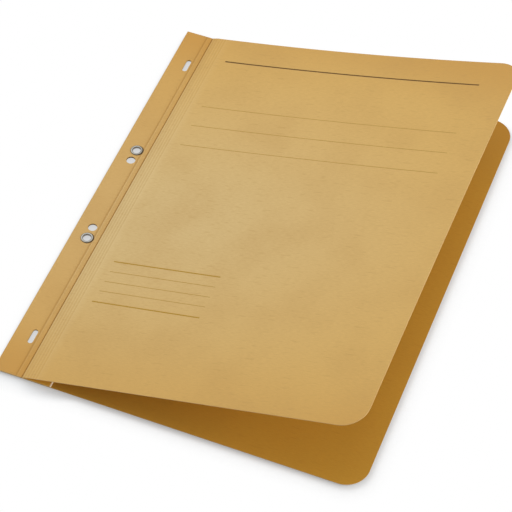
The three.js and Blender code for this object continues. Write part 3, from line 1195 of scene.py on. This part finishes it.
@dataclass
class CardParts:
    """The card: the front half of the blank, the back half and the filing strip, in millimetres."""

    finishes: Finishes
    rows: int = 72
    fold_steps: int = 14
    corner_steps: int = 22
    filing_steps: int = 60
    spine_step: float = 1.5
    band_step: float = 1.0
    wide_step: float = 6.0
    band_ease: float = 0.6
    fold_gap: float = 0.02
    filing_rise: float = 3.0
    bend_reach: float = 0.45

    def _corner(self, end: float) -> list[tuple[float, float]]:
        """Follows the two rounded corners of a free edge.

        Args:
            end: Where the edge is.

        Returns:
            Distances up to the edge, each with the sheet's half height there.
        """
        steps = []
        for i in range(1, self.corner_steps + 1):
            turn = math.pi / 2 * i / self.corner_steps
            x = end - SIZES.corner + SIZES.corner * math.sin(turn)
            steps.append((x, SIZES.half - SIZES.corner + SIZES.corner * math.cos(turn)))
        return steps

    def front(self, cutter: bpy.types.Object) -> bpy.types.Object:
        """The fold, the front spine strip, the rising band and the front cover, as one sheet.

        Args:
            cutter: The punch.

        Returns:
            The sheet, blended from the spine to the cover.
        """
        outer = SIZES.spine_top / 2
        stations = []
        for i in range(self.fold_steps):
            turn = -math.pi / 2 - math.pi * i / self.fold_steps
            out = Vector((math.cos(turn), 0, math.sin(turn)))
            stations.append(Station(outer + outer * out.x, outer + outer * out.z, out, SIZES.half))
        for x in scored_steps(outer, SIZES.spine, self.spine_step):
            stations.append(Station(x, SIZES.spine_top, UP, SIZES.half, total_dip(x)))
        band_end = cover_point(0.0, -SIZES.half)
        run = band_end.x - SIZES.spine
        rise = band_end.z - SIZES.spine_top
        band_up = Vector((-rise, 0, run)).normalized()
        for x in scored_steps(SIZES.spine, PIVOT.x, self.band_step)[1:-1]:
            share = (x - SIZES.spine) / SIZES.pitch
            ease = min(1.0, (x - SIZES.spine) / self.band_ease)
            normal = UP.lerp(band_up, ease).normalized()
            z = SIZES.spine_top + rise * share
            stations.append(Station(SIZES.spine + run * share, z, normal, SIZES.half, total_dip(x)))
        covered = scored_steps(PIVOT.x, PIVOT.x + SIZES.cover_length - SIZES.corner, self.wide_step)
        spots = [(x - PIVOT.x, SIZES.half) for x in covered]
        spots += self._corner(SIZES.cover_length)
        for along, half in spots:
            top = PIVOT + COVER_ALONG * along - COVER_UP * SIZES.pivot_lift
            dip = total_dip(PIVOT.x + along)
            stations.append(Station(top.x, top.z, COVER_UP, half, dip, True))
        sheet = Sheet("front_card", stations, self.rows, self.finishes.card(), SCORES)
        sheet.cut(cutter)
        made = sheet.finish(True)
        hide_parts("spine_front_strip", "front_cover")
        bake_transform(made)
        return made

    def back(self, cutter: bpy.types.Object) -> bpy.types.Object:
        """The rear spine strip and the back panel, as one sheet.

        Args:
            cutter: The punch.

        Returns:
            The sheet, blended from the spine to the back.
        """
        start = SIZES.spine_top / 2 + self.fold_gap
        stations = []
        for x in scored_steps(start, SIZES.width - SIZES.corner, self.wide_step):
            stations.append(Station(x, SIZES.card, UP, SIZES.half))
        for x, half in self._corner(SIZES.width):
            stations.append(Station(x, SIZES.card, UP, half))
        sheet = Sheet("back_card", stations, self.rows, self.finishes.card_turned(), BACK_SCORES)
        sheet.cut(cutter)
        made = sheet.finish(False)
        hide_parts("spine_rear_strip", "back_panel")
        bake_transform(made)
        return made

    def filing(self, cutter: bpy.types.Object) -> bpy.types.Object:
        """The filing strip, stepping up onto the prong strip.

        Args:
            cutter: The punch.

        Returns:
            The sheet, on the spine.
        """
        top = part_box("filing_strip")[1].z / MM
        low = SIZES.front_z - SIZES.ply
        stations = []
        for i in range(self.filing_steps + 1):
            x = SIZES.filing_tab + (SIZES.filing_edge - SIZES.filing_tab) * i / self.filing_steps
            share = min(1.0, max(0.0, (x - SIZES.spine) / self.filing_rise))
            z = low + (top - low) * share * share * (3 - 2 * share)
            stations.append(Station(x, z, UP, SIZES.half))
        sheet = Sheet("filing_card", stations, self.rows, self.finishes.card_strip(), FILING_SCORES)
        sheet.cut(cutter)
        made = sheet.finish(False)
        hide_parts("filing_strip")
        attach(made, Body.SPINE.value)
        return made


@dataclass(frozen=True)
class Rules:
    """One set of printed rules on the front cover.

    They run from start to end, in millimetres from the pivot line, and fall towards the foot on the way.
    """

    name: str
    ink: Ink
    width: float
    start: float
    end: float
    fall: float
    from_head: tuple[float, ...]


RULES = (
    Rules("title_rule", Ink.BROWN, 1.05, 14.4, 199.1, 1.1, (21.4,)),
    Rules("subject_rules", Ink.FAINT, 0.52, 15.4, 199.0, 2.8, (66.0, 84.4, 102.9)),
    Rules("index_outer_rules", Ink.TAN, 0.9, 14.6, 91.5, 2.0, (209.2, 243.0)),
    Rules("index_inner_rules", Ink.FAINT, 0.5, 15.6, 91.5, 2.0, (217.6, 226.0, 234.0)),
)


@dataclass
class Print:
    """The printed rules, as thin ribbons of ink that follow the warped card."""

    finishes: Finishes
    steps: int = 40
    ink: float = 0.02
    sink: float = 0.01

    def build(self) -> list[bpy.types.Object]:
        """Builds every set of rules.

        Returns:
            The pieces, on the cover.
        """
        pieces = []
        for rules in RULES:
            work = bmesh.new()
            for from_head in rules.from_head:
                self._ribbon(work, rules, SIZES.half - from_head)
            made = placed(rules.name, work, self.finishes.inks[rules.ink])
            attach(made, Body.COVER.value)
            pieces.append(made)
        return pieces

    def _ribbon(self, work: bmesh.types.BMesh, rules: Rules, up: float) -> None:
        """Adds one rule as a closed ribbon.

        Args:
            work: The shape of the set.
            rules: The set.
            up: Where the rule starts, from mid height.
        """
        corners = ((-0.5, -self.sink), (0.5, -self.sink), (0.5, self.ink), (-0.5, self.ink))
        rings = []
        for i in range(self.steps + 1):
            along = rules.start + (rules.end - rules.start) * i / self.steps
            middle = up - rules.fall * i / self.steps
            ring = [cover_point(along, middle + side * rules.width, lift) for side, lift in corners]
            rings.append([work.verts.new(place) for place in ring])
        skin(work, rings)


@dataclass
class Eyelets:
    """The two nickel eyelets, each a turned profile with a rolled front flange, in millimetres."""

    finishes: Finishes
    segments: int = 96
    roll_steps: int = 14
    roll_power: float = 0.7
    edge_run: float = 0.08
    edge_rise: float = 0.05
    curl: float = 0.1
    mouth: float = 0.06

    def _profile(self) -> list[tuple[float, float]]:
        """Draws the closed profile.

        Returns:
            Radius and height, once round.
        """
        seat = SIZES.spine_top + SIZES.ply
        rim = SIZES.eyelet_flange
        bore = SIZES.eyelet_bore
        middle = (rim + bore) / 2
        reach = (rim - bore) / 2
        back = SIZES.eyelet_back
        points = [(SIZES.barrel, 0.0), (rim - self.edge_run, 0.0), (rim, self.edge_rise), (rim, back)]
        points += [(SIZES.barrel, back), (SIZES.barrel, seat), (rim - self.curl, seat)]
        for i in range(self.roll_steps + 1):
            turn = math.pi * i / self.roll_steps
            height = SIZES.eyelet_roll * math.sin(turn) ** self.roll_power
            points.append((middle + reach * math.cos(turn), seat + max(self.edge_rise, height)))
        points += [(bore, seat - self.curl), (bore, SIZES.eyelet_wall), (bore + self.curl, self.mouth)]
        return points

    def build(self) -> list[bpy.types.Object]:
        """Builds both eyelets.

        Returns:
            The pieces, on the spine.
        """
        pieces = []
        for node, end in (("upper_eyelet", 1), ("lower_eyelet", -1)):
            work = bmesh.new()
            rings = []
            for i in range(self.segments):
                turn = 2 * math.pi * i / self.segments
                across = Vector((math.cos(turn), math.sin(turn), 0))
                centre = Vector((SIZES.eyelet_inset, end * SIZES.eyelet_spacing / 2, 0))
                rings.append([work.verts.new(centre + across * r + UP * z) for r, z in self._profile()])
            skin(work, rings, closed=True)
            made = placed(f"{node}_turned", work, self.finishes.nickel)
            smooth(made.data, METAL_CREASE)
            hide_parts(node)
            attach(made, Body.SPINE.value)
            pieces.append(made)
        return pieces


@dataclass
class Fastener:
    """The pressed metal pieces, with the soft edges of stamped sheet, in millimetres and degrees."""

    finishes: Finishes
    edge: float = 0.07
    segments: int = 3
    weld: float = 0.002
    flat_angle: float = 1.0
    edge_angle: float = 40.0

    def _softened(self, node: str, body: Body) -> bpy.types.Object:
        """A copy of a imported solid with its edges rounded.

        Args:
            node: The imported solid's name.
            body: The body that it moves with.

        Returns:
            The piece that stands for it.
        """
        source = frame["nodes"][node]
        work = bmesh.new()
        work.from_mesh(source.data)
        bmesh.ops.remove_doubles(work, verts=work.verts, dist=self.weld * MM)
        bmesh.ops.dissolve_limit(
            work,
            angle_limit=math.radians(self.flat_angle),
            verts=work.verts,
            edges=work.edges,
            delimit=set(),
        )
        made = show(f"{node}_pressed", baked(f"{node}_pressed", work), [self.finishes.tin])
        bevel = made.modifiers.new("edge", "BEVEL")
        bevel.width = self.edge * MM
        bevel.segments = self.segments
        bevel.limit_method = "ANGLE"
        bevel.angle_limit = math.radians(self.edge_angle)
        bevel.use_clamp_overlap = True
        apply_modifiers(made)
        smooth(made.data, METAL_CREASE)
        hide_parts(node)
        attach(made, body.value)
        return made

    def build(self) -> list[bpy.types.Object]:
        """Builds the prong strip, the bar and the two locks.

        Returns:
            The pieces.
        """
        return [
            self._softened("prong_strip", Body.SPINE),
            self._softened("compressor_bar", Body.SPINE),
            self._softened("upper_lock", Body.UPPER_SLIDE),
            self._softened("lower_lock", Body.LOWER_SLIDE),
        ]


@dataclass(frozen=True)
class Lamp:
    """A square lamp that faces the middle of the folder, in watts and metres."""

    name: str
    power: float
    size: float
    place: tuple[float, float, float]
    in_metal: bool = True

    def build(self) -> None:
        """Hangs the lamp, mirrored in the metal or not."""
        lamp = bpy.data.lights.new(self.name, "AREA")
        lamp.energy = self.power
        lamp.size = self.size
        made = bpy.data.objects.new(self.name, lamp)
        made.location = self.place
        made.visible_glossy = self.in_metal
        made.rotation_euler = (-Vector(self.place)).to_track_quat("-Z", "Y").to_euler()
        bpy.context.scene.collection.objects.link(made)


@dataclass
class Studio:
    """The floor, the lights and the camera, in metres and degrees, with the lens in millimetres."""

    finishes: Finishes
    azimuth: float = 21.496
    elevation: float = 51.83
    distance: float = 1.3291
    aim: tuple[float, float, float] = (-0.0039, -0.0092, -0.0055)
    lens: float = 145.5
    sensor: float = 36.0
    clip: tuple[float, float] = (0.05, 30.0)
    floor_size: float = 6.0
    floor_cells: int = 4
    floor_gap: float = 0.001
    sky: float = 0.5
    lamps: tuple[Lamp, ...] = (
        Lamp("key", 29.0, 2.8, (-0.75, 0.85, 2.0)),
        Lamp("fill", 13.0, 0.9, (1.25, 0.25, 0.42), False),
    )

    def floor(self) -> bpy.types.Object:
        """Lays the floor just under the folder.

        Returns:
            The floor.
        """
        work = bmesh.new()
        cells = self.floor_cells
        bmesh.ops.create_grid(work, x_segments=cells, y_segments=cells, size=self.floor_size / 2)
        made = show("floor", baked("floor", work), [self.finishes.floor])
        made.location.z = -self.floor_gap
        return made

    def lights(self) -> None:
        """Sets a soft sky and the lamps."""
        world = bpy.data.worlds.new("soft_sky")
        bpy.context.scene.world = world
        world.use_nodes = True
        graph = Graph(world.node_tree)
        sky = graph.node("ShaderNodeBackground", {}, {"Color": WHITE, "Strength": self.sky})
        backdrop = graph.node("ShaderNodeBackground", {}, {"Color": WHITE, "Strength": 1.0})
        mixed = graph.node("ShaderNodeMixShader", {}, {0: graph.ray("Camera"), 1: sky, 2: backdrop})
        graph.feed(world.node_tree.nodes["World Output"].inputs["Surface"], mixed)
        for lamp in self.lamps:
            lamp.build()

    def camera(self) -> bpy.types.Object:
        """Places the camera as the photograph's.

        Returns:
            The camera.
        """
        azimuth = math.radians(self.azimuth)
        elevation = math.radians(self.elevation)
        data = bpy.data.cameras.new("camera")
        data.lens = self.lens
        data.sensor_width = self.sensor
        data.clip_start, data.clip_end = self.clip
        made = bpy.data.objects.new("camera", data)
        turn = Matrix.Rotation(azimuth, 4, "Z") @ Matrix.Rotation(math.pi / 2 - elevation, 4, "X")
        place = Vector(self.aim) + turn @ UP * self.distance
        made.matrix_world = Matrix.Translation(place) @ turn
        bpy.context.scene.collection.objects.link(made)
        bpy.context.scene.camera = made
        return made

    def build(self) -> None:
        """Sets up the whole studio."""
        self.camera()
        self.floor()
        self.lights()
        bpy.context.scene.view_settings.view_transform = "Standard"


def report(pieces: Iterable[bpy.types.Object]) -> None:
    """Logs each finished piece with its number of faces."""
    for piece in pieces:
        log.info("%s: %d faces", piece.name, len(piece.data.polygons))


def main() -> None:
    """Builds the folder and its studio."""
    logging.basicConfig(level=logging.INFO, format="%(name)s: %(message)s")
    finishes = Finishes()
    Studio(finishes).build()
    cutter = Punch().cutter()
    card = CardParts(finishes)
    report([card.front(cutter), card.back(cutter), card.filing(cutter)])
    bpy.data.objects.remove(cutter)
    report(Print(finishes).build())
    report(Eyelets(finishes).build())
    report(Fastener(finishes).build())


if __name__ == "__main__":
    main()
